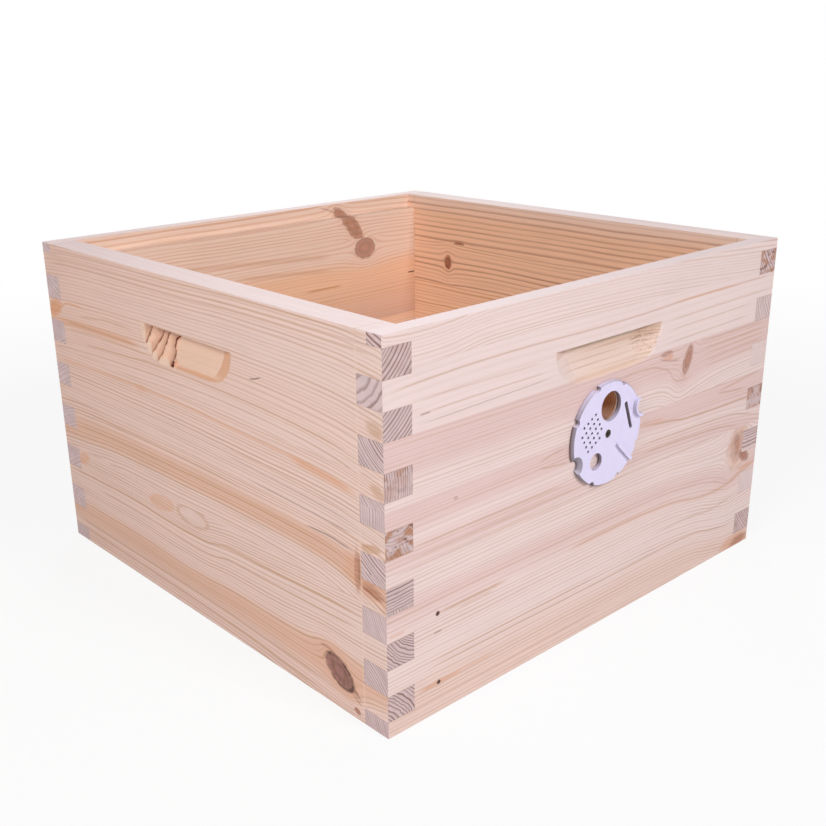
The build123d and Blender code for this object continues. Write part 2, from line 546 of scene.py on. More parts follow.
FIGURES["front_board_4"] = Figure(
    pith=(330, 40), ring=3.6, lines=0.34,
    tones=((0.0, "pale"), (0.2, "pink"), (0.5, "pale"), (0.7, "pink")),
    upper_flow=((0, 0), (150, 1), (252, 3), (300, 2), (400, -3), (504, 1)),
    lower_flow=((0, 0), (252, 2), (300, 4), (400, 0), (440, -4), (504, -14)),
    stains=(
        Spot(316, 176, 19, 2.0, -4, "resin", 0.35, 0.8),
        Spot(71, 178, 2.2, 1.5, 0, "brown", 0.4, 0.6),
    ),
    streaks=(
        Streak(((163, 177), (175, 181.5), (200, 184)), 0.9, 0.45),
        Streak(((163, 177), (180, 172), (206, 170)), 0.9, 0.45),
        Streak(((20, 151), (100, 151.5), (205, 150)), 0.9),
        Streak(((20, 143), (100, 143.5), (230, 143)), 0.8, 0.35),
        Streak(((300, 175), (340, 171), (400, 165), (504, 163)), 1.0, 0.6),
        Streak(((419, 180), (450, 183), (504, 187)), 0.9, 0.5),
        Streak(((419, 180), (440, 177), (474, 174)), 0.9, 0.5),
        Streak(((296, 158), (400, 154), (440, 152), (470, 147), (504, 138)), 0.9, 0.45),
        Streak(((296, 150), (400, 145), (440, 141), (474, 134)), 0.9, 0.45),
        Streak(((0, 135), (252, 135.5), (430, 135)), 0.7),
    ),
    ends=(End(160, (180, -150), 2.6, 0.5), End(0, (238, -47), 3.0, 0.8)),
)

FIGURES["front_board_5"] = Figure(
    pith=(-160, 60), ring=3.2, lines=0.45,
    tones=((0.2, "cream"), (0.34, "pale"), (0.62, "pale"), (0.76, "pink"), (0.86, "pale")),
    upper_flow=((0, 0), (252, 2), (340, 0), (410, -7), (440, -8), (470, -2), (504, 2)),
    lower_flow=((0, 1), (150, 0), (252, -1), (380, -2), (430, -9), (470, -16), (504, -20)),
    knots=(
        pin_knot(52, 88),
        pin_knot(53, 27),
        Spot(469, 112, 18, 23, -15, "resin", 0.3, 0.3, 0.8, 0.1, 0.14),
        Spot(469, 113, 12, 16, -15, "knot", 0.3, 0.4, 0.0, 0.0, 0.12),
        Spot(467, 116, 4.5, 10, 10, "knot", 0.45, 0.6, 0.0, 0.0, 0.2),
        Spot(482, 100, 9, 5, -30, "knot", 0.75, 0.5, 0.0, 0.2, 0.4),
    ),
    stains=(
        Spot(488, 88, 14, 3, 0, "resin", 0.5, 0.8),
        Spot(480, 6, 24, 8, 4, "resin", 0.65, 0.8),
        Spot(488, 5, 15, 5, 6, "knot", 0.65, 0.8),
    ),
    streaks=(
        Streak(((46, 88), (90, 88.2), (135, 88)), 1.5, 0.6),
        Streak(((70, 84.5), (118, 84.6)), 0.8),
        Streak(((0, 86.5), (20, 86.5)), 1.3, 0.35, "resin"),
        Streak(((28, 26.8), (52, 27), (84, 27)), 1.4, 0.65, "resin"),
        Streak(((76, 27), (118, 26.5)), 1.1, 0.35, "resin"),
        Streak(((47, 72), (57, 72)), 1.0, 0.45, "brown"),
        Streak(((36, 48), (150, 48.2), (252, 48)), 0.9),
        Streak(((36, 43.5), (150, 42.5), (252, 41.5), (380, 41), (430, 34), (474, 27)), 0.9, 0.5),
        Streak(((0, 13.5), (150, 13), (262, 12)), 0.9, 0.45),
        Streak(FRONT_WAVE, 3.2, 0.18, "resin"),
        Streak(FRONT_WAVE, 1.0),
        Streak(((330, 62), (400, 60), (430, 57), (445, 58), (478, 64)), 0.9),
    ),
    ends=(
        End(115, (238, -47), 2.6, 0.7),
        End(70, (133, -67), 2.2, 0.55),
        End(25, (0, 60), 2.6, 0.85),
        End(0, (40, -70), 2.2, 0.7),
    ),
)

FIGURES["left_board_1"] = Figure(
    pith=(470, -30), ring=3.3, lines=0.55,
    tones=((0.13, "cream"), (0.2, "rose"), (0.46, "rose"), (0.56, "cream")),
    upper_flow=((0, -4), (100, -1), (250, 0), (340, 2), (430, 1.5), (480, -1), (504, -4)),
    lower_flow=(
        (0, -12), (50, -8), (150, -3), (250, 0), (300, 0), (380, -3), (430, -7), (476, -14), (504, -19)
    ),
    fade=0.5,
    stains=(
        Spot(12, 252, 15, 8, 24, "resin", 0.95, 0.9),
        Spot(495, 247, 9, 5, -20, "late", 0.6, 0.9),
    ),
    streaks=(
        Streak(((0, 235), (30, 240.5), (60, 242), (100, 243), (182, 245)), 4.0, 0.5, "resin"),
        Streak(((0, 241), (16, 250), (30, 257), (50, 261), (80, 260)), 1.2, 0.6, "resin"),
        Streak(((24, 236), (50, 241.5), (100, 243), (186, 243.5)), 1.2, 0.5),
        Streak(((50, 250), (100, 255), (130, 257), (170, 255)), 1.2),
        Streak(((24, 232), (80, 237), (130, 238.5), (200, 238)), 1.0),
        Streak(((60, 224), (150, 229), (200, 232), (280, 232), (340, 231), (420, 227), (478, 219)), 0.9, 0.5),
        Streak(((0, 296), (100, 300), (252, 300.5), (340, 302.5), (430, 302), (504, 297)), 1.1, 0.4),
        Streak(((0, 302), (100, 305), (252, 305.5), (340, 307), (430, 307), (504, 303)), 1.0, 0.3),
        Streak(((0, 309), (100, 312), (252, 312), (430, 313), (504, 310)), 1.0, 0.3),
        Streak(((345, 251), (353, 252.5), (364, 257)), 0.5, 0.8, "dark_knot"),
    ),
    ends=(
        End(270, (340, -40), 3.3, 0.95, 0.15),
        End(225, (310, -40), 3.0, 0.9),
        End(0, (205, -200), 2.4, 0.9, 0.6),
    ),
    milled=Milled("milled_warm", 0.85, 0.06, 0.6),
)

FIGURES["left_board_2"] = Figure(
    pith=(340, -60), ring=2.9, lines=0.7,
    tones=((0.62, "cream"), (0.8, "rose")),
    upper_flow=(
        (0, -4), (100, -2), (200, 0), (250, 0), (300, -2), (400, -4), (440, -6), (470, -10), (504, -17)
    ),
    lower_flow=((0, -1), (250, 0), (350, -1.5), (420, -3.5), (470, -7), (504, -12)),
    fade=0.4,
    stains=(
        Spot(171, 203.5, 10, 3.5, 0, "resin", 0.3, 0.8),
        Spot(497, 201, 8, 4, -20, "late", 0.6, 0.9),
    ),
    streaks=(
        Streak(
            (
                (0, 199), (50, 200.5), (100, 202), (150, 203.5), (250, 204.5), (300, 202.5), (400, 200),
                (478, 192)
            ),
            half_width=1.5,
            colour="resin",
        ),
        Streak(((330, 163.5), (380, 162), (420, 161), (478, 158.8)), 0.6, 0.5, "brown"),
        Streak(((390, 199), (430, 196.5), (455, 194), (478, 191)), 3.4, 0.5, "resin"),
        Streak(((300, 176), (380, 173.5), (430, 171), (478, 167)), 0.7, 0.35, "brown"),
        Streak(((300, 183), (380, 181), (430, 178), (478, 172)), 0.7),
    ),
    ends=(End(185, (205, -200), 2.4, 0.55, 0.3), End(0, (190, 10), 3.0, 0.4, 0.9)),
)

FIGURES["left_board_3"] = Figure(
    pith=(330, -40), ring=3.4, lines=0.8,
    tones=((0.37, "cream"), (0.44, "orange"), (0.72, "orange"), (0.85, "rose")),
    upper_flow=((0, -6), (100, -2), (250, 0), (400, -1), (470, -5), (504, -10)),
    lower_flow=(
        (0, -14), (60, -9), (100, -5), (150, -2), (250, 0), (320, 2), (380, 2), (420, 1), (440, -2),
        (460, -7), (504, -20)
    ),
    fade=0.3,
    stains=(
        Spot(478, 129, 20, 17, -30, "resin", 0.4, 0.8),
        Spot(472.5, 131, 3.4, 17, 0, "knot", 0.6, 0.8),
        Spot(475, 132, 1.6, 12, 0, "brown", 0.6, 0.8),
        Spot(490, 120, 13, 5, -8, "knot", 0.55, 0.8),
        Spot(488, 117.5, 10, 1.2, -12, "knot", 0.8, 0.7),
        Spot(488, 154, 11, 3.2, 8, "late", 0.7, 0.6),
    ),
    streaks=(
        Streak(((408, 146.5), (430, 148.3), (452, 147), (472, 144)), 0.6, 0.7, "dark_knot"),
        Streak(((20, 149), (100, 152), (252, 153), (330, 152)), 0.9, 0.5),
        Streak(((20, 130), (100, 136), (200, 139), (330, 141), (410, 140), (470, 130)), 1.0, 0.5),
    ),
    ends=(End(140, (120, -60), 3.0, 0.4, 0.9), End(0, (420, 0), 2.8, 1.0)),
)

FIGURES["left_board_4"] = Figure(
    pith=(260, -50), ring=2.9, lines=0.7,
    tones=((0.0, "cream"), (0.2, "rose"), (0.28, "orange"), (0.39, "orange"), (0.45, "cream")),
    upper_flow=(
        (0, -3), (60, 0), (120, 2), (150, 2), (200, -1), (252, 0), (280, 4), (310, 7.5), (350, 9), (440, 13),
        (504, 17)
    ),
    lower_flow=((0, 0), (150, 1), (250, 0), (330, -2), (390, -5), (430, -6), (504, -4)),
    fade=0.3,
    knots=(Spot(447, 33, 18, 11, -29, "dead_knot", 0.9, 0.2, 0.9, 0.5, 0.9),),
    stains=(
        Spot(36, 97, 13, 6, 20, "resin", 0.55, 0.7),
        Spot(190, 96, 23, 8, 8, "resin", 0.45, 0.25),
        Spot(243, 98.5, 27, 9.5, 0, "late", 0.45, 0.15),
        Spot(243, 98.5, 22, 6.8, 0, "cream", 0.8, 0.2),
        Spot(468, 7, 4, 2.2, -20, "knot", 0.9, 0.6),
        Spot(16, 9, 4, 2, 0, "dark_knot", 0.6, 0.6),
        Spot(467, 23, 7, 2.2, -42, "dead_knot", 0.7, 0.7),
    ),
    streaks=(
        Streak(
            (
                (0, 77.5), (40, 79.5), (90, 81.5), (140, 82.5), (190, 80.5), (252, 81), (280, 85), (300, 88),
                (350, 89.5), (430, 93), (478, 94.5)
            ),
            half_width=1.2,
            strength=0.6,
        ),
        Streak(((60, 70), (150, 71), (252, 69.5), (300, 76), (400, 79), (478, 82)), 0.9, 0.6),
        Streak(((0, 22), (150, 22), (252, 22), (330, 20), (400, 17.5), (432, 16.5)), 1.1, 0.6),
        Streak(((0, 14), (150, 13.5), (252, 12.5), (330, 10.5), (380, 7.5), (430, 6)), 1.1, 0.6),
        Streak(((422, 47), (431, 49), (444, 44)), 1.0, 0.6, "brown"),
        Streak(((458, 26), (466, 18), (474, 14)), 0.9, 0.7, "knot"),
    ),
    ends=(End(95, (105, -200), 2.6, 0.8), End(50, (110, 45), 2.3, 0.95), End(0, (-20, -35), 2.8, 1.0)),
)

FIGURES["rear_board_1"] = Figure(
    pith=(420, 80), ring=4.0, lines=0.6,
    tones=even("honey"),
    sway=5.0,
    knots=(Spot(374.5, 290.5, 25, 8.6, -51, "knot", 0.62, 0.12, 0.5, 0.4, 0.2),),
    streaks=(Streak(((335, 314), (350, 309), (362, 302)), 0.8, 0.5, "brown"),),
    milled=Milled(),
    line_colour="resin",
)

FIGURES["rear_board_2"] = Figure(
    pith=(420, 90), ring=3.6, lines=0.4,
    tones=((0.3, "amber"), (0.6, "honey")),
    sway=4.0,
    knots=(Spot(394.7, 260.5, 15.5, 12.3, 0, "knot", 0.65, 0.08, 1.0, 0.3, 0.3),),
    streaks=(
        Streak(((120, 271), (200, 266), (280, 261), (350, 257)), 3.2, 0.3, "bore"),
        Streak(((200, 250), (280, 245), (350, 240)), 2.4, 0.3, "bore"),
    ),
    milled=Milled(),
    line_colour="resin",
)

FIGURES["rear_board_3"] = Figure(
    pith=(60, 70), ring=4.0, lines=0.4,
    tones=((0.0, "orange"), (1.0, "amber")),
    sway=4.0,
    streaks=(
        Streak(((297, 221), (330, 220.5), (361, 221)), 1.8, 0.7, "bore"),
        Streak(((464, 220.5), (470, 220.4), (477, 220.3)), 1.1, 0.9, "dark_knot"),
    ),
    milled=Milled(),
    line_colour="resin",
)

FIGURES["rear_board_4"] = Figure(
    pith=(0, 60), ring=3.0, lines=0.45,
    tones=((0.0, "cream"), (1.0, "amber")),
    sway=4.0,
)

FIGURES["rear_board_5"] = Figure(
    pith=(-60, 90), ring=3.0, lines=0.45,
    tones=((0.0, "orange"), (0.5, "cream")),
    sway=4.0,
    knots=(Spot(150, 62, 12, 11),),
)

FIGURES["right_board_1"] = Figure(
    pith=(460, 40), ring=6.5, lines=0.5,
    tones=((0.6, "amber"), (1.0, "honey")),
    sway=2.5,
    knots=(Spot(106, 264, 7, 2.4, 0, "knot", 0.8, 0.5),),
    ends=(End(0, (356, -59), 3.2, 0.75, 0.8),),
    milled=RIGHT_MILLED,
    line_colour="knot",
)

FIGURES["right_board_2"] = Figure(
    pith=(420, 60), ring=5.0, lines=0.55,
    tones=even("amber"),
    sway=4.0,
    knots=(Spot(87, 239, 5, 8),),
    ends=(End(225, (280, -47), 2.5, 0.8, 0.0, 0.25), End(0, (205, -200), 3.0, 0.5, 0.0, 0.6)),
    milled=RIGHT_MILLED,
    line_colour="knot",
)

FIGURES["right_board_3"] = Figure(
    pith=(40, 60), ring=4.0, lines=0.7,
    tones=even("amber"),
    sway=3.0,
    line_colour="bore",
    ends=(End(185, (205, -200), 3.0, 0.5, 0.0, 0.6), End(0, (200, -30), 2.0, 0.7, 0.6)),
)

FIGURES["right_board_4"] = Figure(
    pith=(330, -50), ring=2.8, lines=0.45,
    tones=even("cream"),
    sway=3.0,
    ends=(End(140, (205, -200), 2.6, 0.3, 0.6), End(0, (400, 10), 3.2, 0.8)),
)

FIGURES["right_board_5"] = Figure(
    pith=(-60, -60), ring=3.0, lines=0.45,
    tones=((0.0, "cream"), (0.6, "orange"), (1.0, "cream")),
    sway=4.0,
    knots=(Spot(174, 58, 13, 12),),
    ends=(End(50, (205, -200), 2.6, 0.4, 0.0, 0.5), End(0, (90, -60), 2.4, 0.8, 0.2)),
)


# Pine


def wall_place(tree, wall):
    """Millimetres along a wall, into it from its outer face, and up."""
    x, y, z = tree.object_place()
    if wall == "front":
        return x - LEFT_FACE, y - FRONT_FACE, z
    if wall == "rear":
        return x - LEFT_FACE, REAR_FACE - y, z
    if wall == "left":
        return REAR_FACE - y, x - LEFT_FACE, z
    return REAR_FACE - y, RIGHT_FACE - x, z


class Pine(Tree):
    """The pine of one board: growth rings about a pith, bent by the grain's flow and parted by its knots."""

    # Patches of noise: their length along the wall, height and depth in millimetres
    ragged_patch = (9, 5, 30)
    free_flow_patch = (190, 70, 70)
    held_flow_patch = (150, 40, 70)
    ring_patch = (45, 8, 8)
    band_patch = (60, 3, 20)
    line_patch = (120, 14, 20)
    fine_patch = (90, 0.8, 20)
    stain_patch = (18, 1.6, 6)
    knot_patch = (4, 4, 6)
    milled_patch = (120, 1.5, 60)
    end_ring_patch = (40, 9, 9)
    warm_end_patch = (30, 9, 11)
    brown_end_patch = (30, 6, 8)
    end_tone_patch = (8, 12, 12)
    fibre_patch = (22, 0.8, 0.8)
    tone_patch = (130, 40, 40)

    # Growth rings: where late wood starts and stops within a ring, how far the rings wander over how many
    # of them, and the least and most weight of a ring
    late_start = (0.42, 0.8)
    late_stop = (0.86, 1.0)
    ring_wander = 1.4
    rings_per_wander = 4.0
    ring_weight = (0.35, 1.15)
    end_ring_weight = (0.55, 1.15)

    # How far a face has to look along the wall or up to be an end, a ramp or a ledge with painted shade, and
    # where ends stop
    end_facing = (0.75, 0.92)
    end_reach = WALL_THICKNESS + 1.0
    ramp_facing = (0.12, 0.22)
    ledge_facing = (0.9, 0.98)

    # Streaks: their longest taper, and where their edges start and end in half widths
    longest_taper = 30.0
    streak_edge = (0.3, 1.5)

    # Walls painted warmer and brighter inside, as light bounced in the box: depths and share of the cream
    # wood outside
    painted_glow_walls = ("rear", "right")
    painted_glow_depth = (10.0, 15.0)
    outer_cream = 0.8

    # Hand-hold floors: depths, edges, the fresh wood's middle, the foot's band and the painted shadow strip
    # under the edge, lit by painted light where deepest
    hold_start = (0.2, 1.0)
    hold_stop = (HOLD_DEPTH + 0.2, HOLD_DEPTH + 0.6)
    hold_edge = 0.5
    fresh_from_middle = 15.0
    fresh_share = (0.2, 1.0)
    foot_band = (2.5, 5.5)
    strip_height = 7.5
    strip_depth = (9.5, 11.3)
    strip_late = 0.3

    # Entrance: its reach, depths and foot painted pale as if lit from above, how far the pith of its rings
    # stands in front of the wall, and the width, lean, curve and weight of those rings
    bore_reach = ENTRANCE_RADIUS + 0.3
    bore_start = (0.3, 1.0)
    bore_stop = (WALL_THICKNESS - 0.6, WALL_THICKNESS - 0.1)
    bore_lit_foot = (-ENTRANCE_RADIUS, -2.0)
    bore_pith = 60.0
    bore_ring = 2.4
    bore_lean = 0.12
    bore_curve = 0.1
    bore_weight = (0.5, 1.0)

    # Ends that no figure describes: darkness of the rings and share of warm wood
    unseen_end = (0.35, 0.1)

    # Planed rim, painted paler as if lit from above, the glue beside the front corners, and seams
    rim_edge = (BOX_TOP - 0.5, BOX_TOP - 0.1)
    glue_line = (WALL_LENGTH - WALL_THICKNESS - 1.0, WALL_LENGTH - WALL_THICKNESS + 0.5)
    glue_edge = 1.0
    seam_width = 0.5

    # How far apart the boards lie in the noise, and how blotchy their knots are
    seed_step = 17.3
    blotches = {"dead_knot": 1.6}
    plain_blotch = 0.6

    # Surface: its roughness, what rings and ends change of it, and the depth of the fibres in metres
    wood_roughness = 0.62
    ring_polish = 0.1
    end_roughness = 0.15
    fibre_depth = 0.0004

    def __init__(self, node, settings):
        super().__init__(bpy.data.materials.new("pine_" + node))
        self.figure = FIGURES[node]
        self.ends = self.figure.ends or (End(0, self.figure.pith, self.figure.ring, *self.unseen_end),)
        self.low, self.high = (corner[2] for corner in node_box(node))
        self.seed = self.seed_step * (list(FIGURES).index(node) + 1)
        self.settings = settings
        self.wall = node.split("_")[0]
        self.side_wall = self.wall in ("left", "right")
        self.along, self.deep, self.height = wall_place(self, self.wall)
        self.from_end = self.along.at_most(WALL_LENGTH - self.along)
        self.endways = abs(self.normal(1 if self.side_wall else 0))
        self.end = self.rise(self.endways, *self.end_facing) * self.from_end.below(self.end_reach)
        self.ragged = self.cloud(self.ragged_patch, 2.0)

    def colour(self, name):
        return tuple(getattr(self.settings, name))

    def lay(self, colour, name, share):
        """A colour with one of the pine's own colours over it."""
        return self.blend(colour, self.colour(name), share)

    def cloud(self, patch, detail=1.0, roughness=0.5):
        """Noise from -0.5 to 0.5 in patches of the given length, height and depth."""
        length, height, depth = patch
        point = self.point(self.along / length, self.height / height, self.deep / depth + self.seed)
        return self.noise(point, detail, roughness)

    def route(self, places, value=None):
        """The height of a smooth line through places along the wall, or a place that follows the height."""
        value = self.along if value is None else value
        lowest = min(second for first, second in places) - 1.0
        span = max(second for first, second in places) + 1.0 - lowest
        points = [(first / WALL_LENGTH, (second - lowest) / span) for first, second in places]
        curve = self.node("ShaderNodeFloatCurve", {"points": points}, {"Value": value / WALL_LENGTH})
        return curve * span + lowest

    def oval(self, spot, ragged):
        """Squared distance from the middle of a spot, 1 on its ragged edge."""
        lean = math.radians(spot.lean)
        run = self.along + self.ragged * ragged - spot.along
        climb = self.height + self.ragged * ragged - spot.height
        across = (run * math.cos(lean) + climb * math.sin(lean)) / spot.half_length
        up = (climb * math.cos(lean) - run * math.sin(lean)) / spot.half_height
        return across * across + up * up

    def flow(self):
        """How far the grain has drifted from level at each place."""
        figure = self.figure
        if not figure.upper_flow:
            return self.cloud(self.free_flow_patch) * (2 * figure.sway)
        upper = self.route(figure.upper_flow)
        lower = self.route(figure.lower_flow or figure.upper_flow)
        share = (self.height - self.low) / (self.high - self.low)
        return lower + (upper - lower) * share + self.cloud(self.held_flow_patch) * figure.sway

    def rings(self, climb, depth, ring):
        """The dark side of each growth ring about a pith, and a number for each ring."""
        radius = (climb * climb + depth * depth).root()
        wander = self.line_noise(radius / (ring * self.rings_per_wander) + self.seed)
        count = radius / ring + wander * self.ring_wander
        share = count.fraction()
        late = self.rise(share, *self.late_start) * self.fall(share, *self.late_stop)
        return late, count.floor()

    def face_colour(self, across, late, ring_number):
        """Bands of tone with the growth rings and streaks over them."""
        figure = self.figure
        band = (across - self.low) / (self.high - self.low) + self.cloud(self.band_patch, 2.0) * 0.05
        stops = [(position, self.colour(name)) for position, name in figure.tones]
        colour = self.node("ShaderNodeValToRGB", {"stops": stops}, {"Fac": band})
        # Painted light: inner faces keep their bright amber and honey, while outer faces turn to cream wood
        if self.wall in self.painted_glow_walls:
            colour = self.lay(colour, "cream", self.fall(self.deep, *self.painted_glow_depth) * self.outer_cream)
        if figure.fade:
            colour = self.lay(colour, "orange", (1 - self.along / WALL_LENGTH) * figure.fade)
        weight = self.chance(ring_number + self.seed).between(*self.ring_weight)
        line = late * weight * (self.cloud(self.line_patch) + 0.95)
        fine = self.rise(self.cloud(self.fine_patch), 0.02, 0.22)
        colour = self.lay(colour, figure.line_colour, line * (figure.lines * self.settings.contrast))
        colour = self.lay(colour, figure.line_colour, fine * (figure.lines * 0.3))
        for streak in figure.streaks:
            colour = self.lay(colour, streak.colour, self.streak_share(streak))
        return colour, line

    def streak_share(self, streak):
        """How much of a streak covers each place, thinning out towards its two ends."""
        start, stop = streak.route[0][0], streak.route[-1][0]
        taper = min(self.longest_taper, (stop - start) / 4)
        offset = abs(self.height + self.ragged * 0.9 - self.route(streak.route))
        across = self.fall(offset, *(streak.half_width * share for share in self.streak_edge))
        return across * self.hump(self.along, start + taper, stop - taper, taper) * streak.strength

    def add_stains(self, colour):
        """Patches of resin or bark that run out along the grain."""
        if not self.figure.stains:
            return colour
        streaky = self.cloud(self.stain_patch, 2.0, 0.6) * 1.6 + 0.85
        for stain in self.figure.stains:
            ragged = 1.0 + 0.4 * min(stain.half_length, stain.half_height)
            share = self.fall(self.oval(stain, ragged), 1 - stain.soft, 1 + stain.soft)
            colour = self.lay(colour, stain.colour, share * streaky * stain.strength)
        return colour

    def add_knots(self, colour, ovals):
        """Each knot has a resin halo, a streaky heart and a broken ring of bark."""
        mottle = self.cloud(self.knot_patch, 3.0, 0.7)
        for knot, oval in zip(self.figure.knots, ovals):
            size = oval.root()
            colour = self.lay(colour, "resin", knot.halo / (oval * oval + 1))
            blotch = self.blotches.get(knot.colour, self.plain_blotch)
            circles = (size * 9 + mottle * 4).sine() * 0.2 + mottle * blotch + 1.0
            heart = self.shaded(self.colour(knot.colour), circles)
            inside = self.fall(size, 1 - knot.soft, 1 + knot.soft)
            colour = self.blend(colour, heart, inside * knot.strength)
            bark = self.hump(size + mottle * 0.2, 0.94, 1.02, 0.14) * self.rise(self.ragged, -0.3, 0.15)
            colour = self.lay(colour, "dark_knot", bark * knot.bark)
        return colour

    def add_milled(self, colour):
        """Fresh wood on the floor of the hand-hold, with more end grain on its ramps and along its foot, and
        a painted shadow strip under its edge that painted light brightens where it is deepest.
        """
        milled = self.figure.milled
        run = abs(self.along - WALL_MIDDLE)
        inside = self.rise(self.deep, *self.hold_start) * self.fall(self.deep, *self.hold_stop)
        inside = inside * run.below(HOLD_HALF_WIDTH + self.hold_edge)
        inside = inside * self.hump(self.height, HOLD_LOW, HOLD_TOP, self.hold_edge)
        fresh_end = WALL_MIDDLE - HOLD_HALF_WIDTH
        fresh = self.rise(self.along, fresh_end, WALL_MIDDLE - self.fresh_from_middle)
        fresh = inside * fresh.between(*self.fresh_share)
        colour = self.lay(colour, milled.colour, fresh * milled.share)
        grain = self.rise(self.cloud(self.milled_patch), 0.0, 0.22)
        colour = self.lay(colour, "late", fresh * grain * milled.lines)
        past_corner = (run - (HOLD_HALF_WIDTH - HOLD_CORNER)).at_least(0.0)
        below_corner = (HOLD_LOW + HOLD_CORNER - self.height).at_least(0.0)
        inset = HOLD_CORNER - (past_corner * past_corner + below_corner * below_corner).root()
        foot = self.fall(inset + self.ragged * 2, *self.foot_band)
        ramp = self.rise(self.endways, *self.ramp_facing)
        colour = self.lay(colour, "resin", inside * ramp.at_least(foot) * milled.ramp)
        # Painted shadow: a tan strip with a crisp lower edge under the top edge, and painted light where it
        # lies deepest
        strip_low = HOLD_TOP - self.strip_height
        strip = inside * self.rise(self.height, strip_low - self.hold_edge, strip_low) * milled.strip
        colour = self.lay(colour, "late", strip * self.strip_late)
        return self.lay(colour, "strip", strip * self.rise(self.deep, *self.strip_depth))

    def add_bored(self, colour):
        """Wood on the wall of the entrance, cut along its growth rings, painted dark and orange as the shade
        and bounced light inside the hole, and paler at its foot as painted light.
        """
        run = self.along - ENTRANCE_ALONG
        climb = self.height - ENTRANCE_HEIGHT
        near = (run * run + climb * climb).root().below(self.bore_reach)
        inside = self.rise(self.deep, *self.bore_start) * self.fall(self.deep, *self.bore_stop)
        from_pith = self.deep + climb * self.bore_lean + self.bore_pith
        late, ring_number = self.rings(from_pith, run * self.bore_curve, self.bore_ring)
        weight = self.chance(ring_number).between(*self.bore_weight)
        wood = self.lay(self.colour("bore"), "dark_knot", late * weight * 0.8)
        # Painted light: the foot of the entrance is laid paler, as if lit from above
        wood = self.lay(wood, "orange", self.fall(climb, *self.bore_lit_foot) * 0.6)
        return self.blend(colour, wood, near * inside * 0.9)

    def by_finger(self, values):
        """A number that changes from one finger of the board to the next, going down."""
        result = values[0]
        for end, value, following in zip(self.ends, values, values[1:]):
            result = result + self.height.below(end.bottom) * (following - value)
        return result

    def end_colour(self):
        """Growth rings on the ends of the fingers, each finger about its own pith."""
        ends = self.ends
        wander = self.cloud(self.end_ring_patch, 2.0) * 2.5
        climb = self.height + wander - self.by_finger([end.pith[0] for end in ends])
        depth = self.deep + wander - self.by_finger([end.pith[1] for end in ends])
        late, ring_number = self.rings(climb, depth, self.by_finger([end.ring for end in ends]))
        weight = self.chance(ring_number + self.seed).between(*self.end_ring_weight)
        warm = self.by_finger([end.warm for end in ends])
        dark = self.by_finger([end.dark for end in ends])
        warm_patches = self.rise(self.cloud(self.warm_end_patch, 2.0), -0.05, 0.1)
        brown_patches = self.rise(self.cloud(self.brown_end_patch, 2.0), 0.08, 0.2)
        base = self.lay(self.colour("end"), "end_warm", warm_patches * warm)
        base = self.lay(base, "brown", brown_patches * warm)
        base = self.shaded(base, self.cloud(self.end_tone_patch, 2.0) * 0.3 + 1.0)
        base = self.lay(base, "end_ring", late * weight * dark)
        return self.lay(base, "pale", self.by_finger([end.plain for end in ends]))

    def seams(self):
        """Fine dark lines where boards are glued and where the fingers of two walls meet."""
        pair = ((BOX_TOP - TOP_PART_FINGER - self.height) / (2 * FINGER_HEIGHT)).fraction()
        other = 1 - pair.below(0.5) if self.side_wall else pair.below(0.5)
        shoulder = self.hump(self.from_end, WALL_THICKNESS, WALL_THICKNESS, self.seam_width) * other
        level = abs((pair * 2).fraction() - 0.5)
        cheek = self.rise(level, 0.5 - self.seam_width / FINGER_HEIGHT, 0.5)
        cheek = cheek * self.from_end.below(WALL_THICKNESS)
        glue = self.fall(self.height - self.low, 0.0, self.seam_width)
        return (shoulder.at_least(cheek) + glue * 0.5) * (self.ragged + 0.65)

    def add_edges(self, colour):
        """End grain, the planed rim with painted light, the ledges with painted shade, and the seams."""
        colour = self.blend(colour, self.end_colour(), self.end)
        # Painted light: the planed rim is laid paler and cooler, as if lit from above
        rim = self.rise(self.height, *self.rim_edge)
        colour = self.lay(colour, "rim", rim * 0.7)
        # Painted shade: faces that look up or down, the ledges, are laid darker
        painted_ledge_shade = self.rise(abs(self.normal(2)), *self.ledge_facing) * (1 - rim)
        colour = self.shaded(colour, 1 - painted_ledge_shade * 0.2)
        if self.side_wall:
            glue = self.hump(self.along, *self.glue_line, self.glue_edge)
            colour = self.lay(colour, "milled", glue * 0.3 * (1 - self.end))
        return self.lay(colour, "brown", self.seams() * 0.5)

    def material(self):
        """The board's finished material."""
        figure = self.figure
        ovals = [self.oval(knot, 0.5 + 0.25 * knot.half_height) for knot in figure.knots]
        level = self.height - self.flow()
        for knot, oval in zip(figure.knots, ovals):
            level = level - (self.height - knot.height) * (knot.parting / oval.at_least(1.0))
        across = level + self.cloud(self.ring_patch, 2.0) * 0.9
        late, ring_number = self.rings(across - figure.pith[0], self.deep - figure.pith[1], figure.ring)
        colour, line = self.face_colour(across, late, ring_number)
        colour = self.add_knots(self.add_stains(colour), ovals)
        if figure.milled:
            colour = self.add_milled(colour)
        if figure.bored:
            colour = self.add_bored(colour)
        colour = self.add_edges(colour)
        fibre = self.cloud(self.fibre_patch, 3.0, 0.65)
        # Painted light and shade: each wall is laid lighter or darker along its length, as its lamps fall on
        # it
        painted_light_drift = (self.along / WALL_LENGTH - 0.5) * WALL_PAINTED_LIGHT.get(self.wall, 0.0)
        colour = self.shaded(colour, fibre * 0.12 + self.cloud(self.tone_patch, 2.0) * 0.08 + painted_light_drift + 1.0)
        rough = self.wood_roughness - line * self.ring_polish + self.end * self.end_roughness
        bump = self.bump(fibre * 0.6 + line * 0.4, 0.2, self.fibre_depth)
        self.surface({"Base Color": colour, "Roughness": rough, "Normal": bump, "Specular IOR Level": 0.3})
        return self.owner


def dress(node, material):
    """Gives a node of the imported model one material."""
    mesh = frame["nodes"][node].data
    mesh.materials.clear()
    mesh.materials.append(material)


